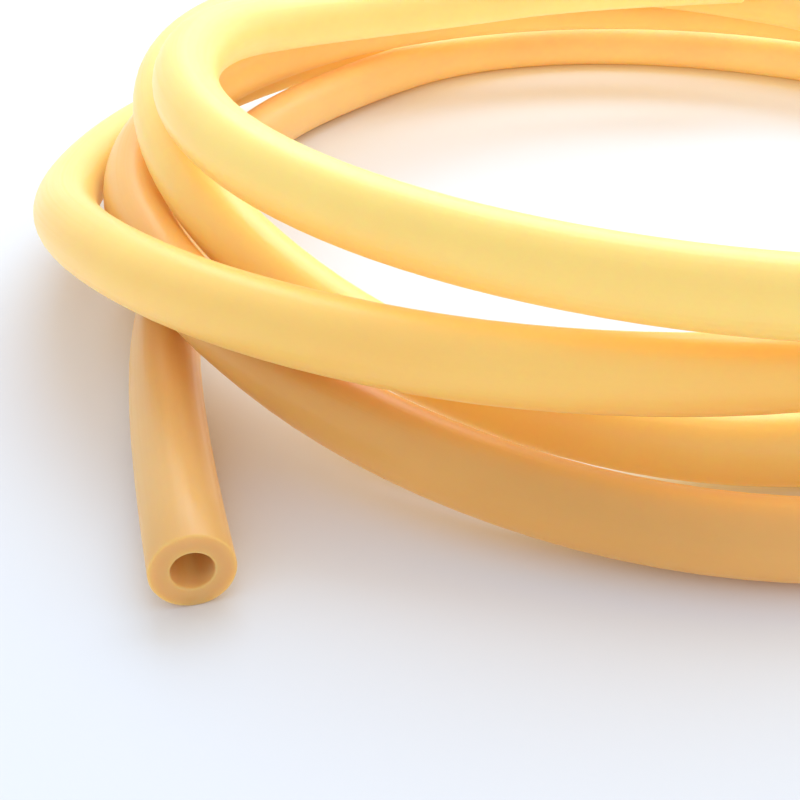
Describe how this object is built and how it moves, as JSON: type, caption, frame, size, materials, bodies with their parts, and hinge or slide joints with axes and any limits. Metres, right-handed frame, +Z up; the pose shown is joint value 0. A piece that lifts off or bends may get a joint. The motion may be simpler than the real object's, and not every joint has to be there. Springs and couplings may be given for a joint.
{
  "type": "rubber tubing coil",
  "caption": "Length of soft amber latex laboratory tube lying in a loose coil, with an open bore and square-cut ends that push onto hose barbs.",
  "frame": {"origin": "middle of the coil's box, on the table that it lies on", "axes": "+Z up; +Y to the back of the picture, away from the free end; +X to the right"},
  "size_m": [0.219, 0.2264, 0.0402],
  "materials": {
    "latex": "smooth satin, translucent amber"
  },
  "bodies": {
    "root": {"rubber_tube": "latex"}
  },
  "joints": []
}
